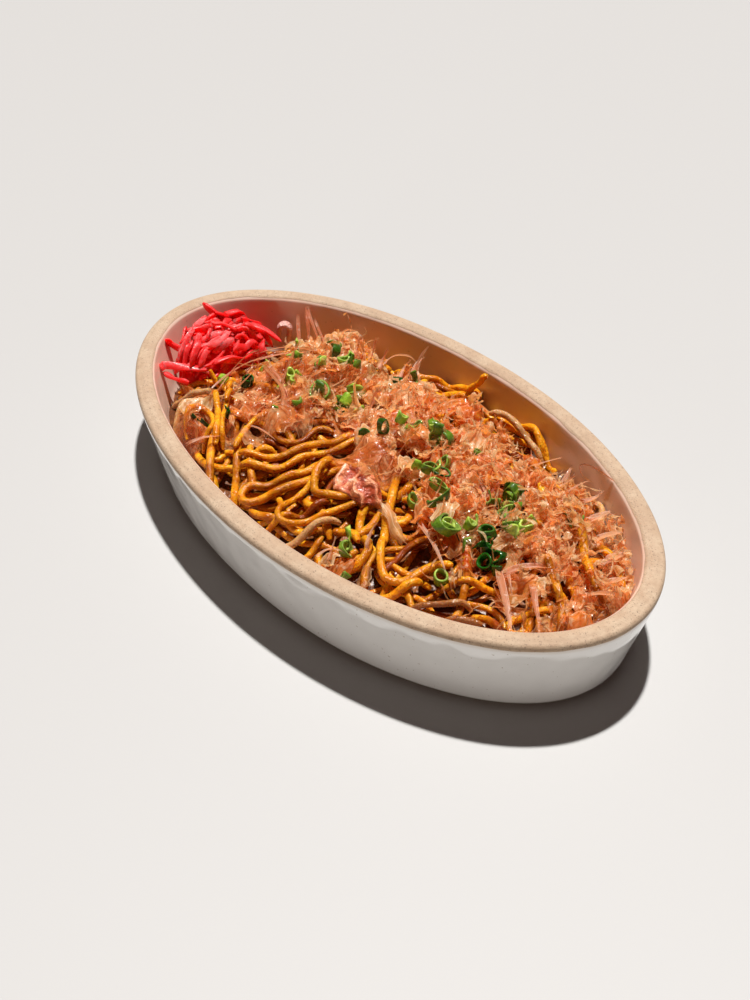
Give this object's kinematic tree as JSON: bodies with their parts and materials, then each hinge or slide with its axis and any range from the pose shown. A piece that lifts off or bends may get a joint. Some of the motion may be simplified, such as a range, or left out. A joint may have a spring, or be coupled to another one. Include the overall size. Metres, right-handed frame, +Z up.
{
  "type": "yakisoba",
  "caption": "Fried noodles heaped in an oval stoneware dish with a bare clay rim, topped with shaved fish flakes, green onion rings and red pickled ginger.",
  "frame": {"origin": "on the surface the dish stands on, under the middle of the oval", "axes": "+X along the dish's long axis, away from the pickled ginger; +Z up"},
  "size_m": [0.2484, 0.1358, 0.0382],
  "materials": {
    "stoneware": "gloss white glaze, bare speckled tan clay on the rim and foot",
    "noodle": "moist wheat noodles, glossy with brown sauce",
    "flake": "paper-thin translucent shavings",
    "ginger": "wet red strips",
    "pork": "moist cooked slice",
    "squid": "moist, pale pink"
  },
  "bodies": {
    "root": {"dish": "stoneware", "noodles": "noodle", "bonito_flakes": "flake", "pickled_ginger": "ginger", "pork_slice": "pork", "squid_curl": "squid"}
  },
  "joints": []
}
